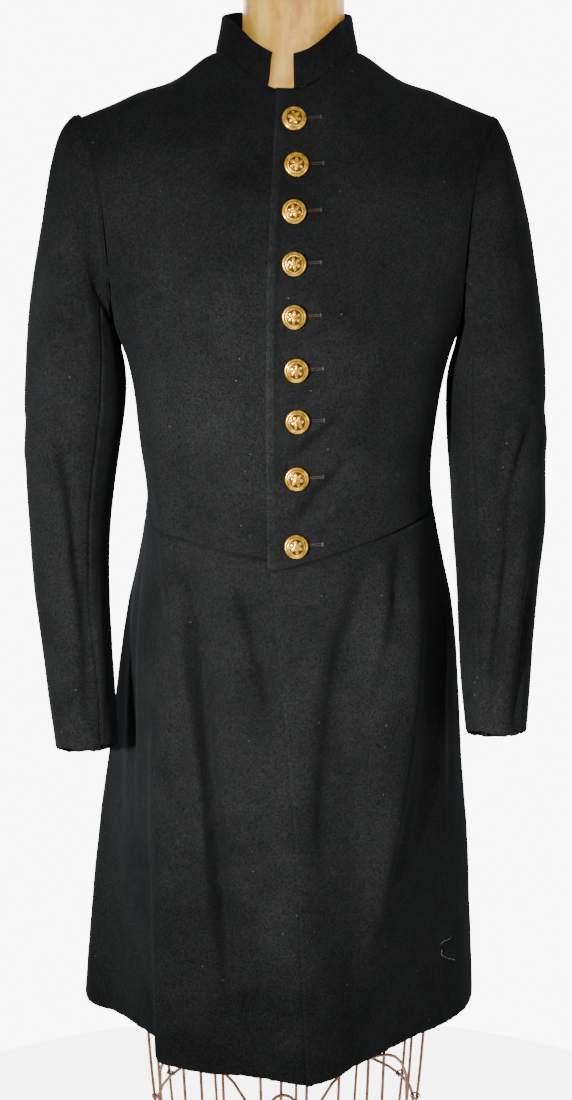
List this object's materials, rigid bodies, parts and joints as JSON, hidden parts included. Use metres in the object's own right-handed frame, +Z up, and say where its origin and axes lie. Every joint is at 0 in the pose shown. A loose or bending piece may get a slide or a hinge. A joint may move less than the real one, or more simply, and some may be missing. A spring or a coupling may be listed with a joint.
{
  "type": "frock coat on a wire cage dress form",
  "caption": "Black wool frock coat with a standing collar, gilt dome buttons and full skirts, on a limbless dress form with a rusty wire cage.",
  "frame": {"origin": "on the floor, below the middle of the whole part", "axes": "+Z up, the coat's front faces -Y, the wearer's left is +X"},
  "size_m": [0.4864, 0.3909, 1.262],
  "materials": {
    "wool_broadcloth": "soft nap with a faint sheen",
    "gilt_brass": "worn gilt",
    "linen": "aged, varnished",
    "wood": "oiled",
    "rusted_wire": "rusted"
  },
  "bodies": {
    "root": {"forepart_R": "wool_broadcloth", "forepart_L": "wool_broadcloth", "side_body_R": "wool_broadcloth", "side_body_L": "wool_broadcloth", "back_R": "wool_broadcloth", "back_L": "wool_broadcloth", "skirt_R": "wool_broadcloth", "skirt_L": "wool_broadcloth", "top_sleeve_R": "wool_broadcloth", "top_sleeve_L": "wool_broadcloth", "under_sleeve_R": "wool_broadcloth", "under_sleeve_L": "wool_broadcloth", "collar": "wool_broadcloth", "button_1": "gilt_brass", "button_2": "gilt_brass", "button_3": "gilt_brass", "button_4": "gilt_brass", "button_5": "gilt_brass", "button_6": "gilt_brass", "button_7": "gilt_brass", "button_8": "gilt_brass", "button_9": "gilt_brass", "hip_button_R": "gilt_brass", "hip_button_L": "gilt_brass", "form_torso": "linen", "hip_board": "wood", "upright_1": "rusted_wire", "upright_2": "rusted_wire", "upright_3": "rusted_wire", "upright_4": "rusted_wire", "upright_5": "rusted_wire", "upright_6": "rusted_wire", "upright_7": "rusted_wire", "upright_8": "rusted_wire", "upright_9": "rusted_wire", "upright_10": "rusted_wire", "upright_11": "rusted_wire", "upright_12": "rusted_wire", "upright_13": "rusted_wire", "upright_14": "rusted_wire", "upright_15": "rusted_wire", "upright_16": "rusted_wire", "upright_17": "rusted_wire", "upright_18": "rusted_wire", "hoop_1": "rusted_wire", "hoop_2": "rusted_wire", "middle_arch": "rusted_wire", "right_arch": "rusted_wire", "left_arch": "rusted_wire", "base_ring": "rusted_wire"}
  },
  "joints": []
}
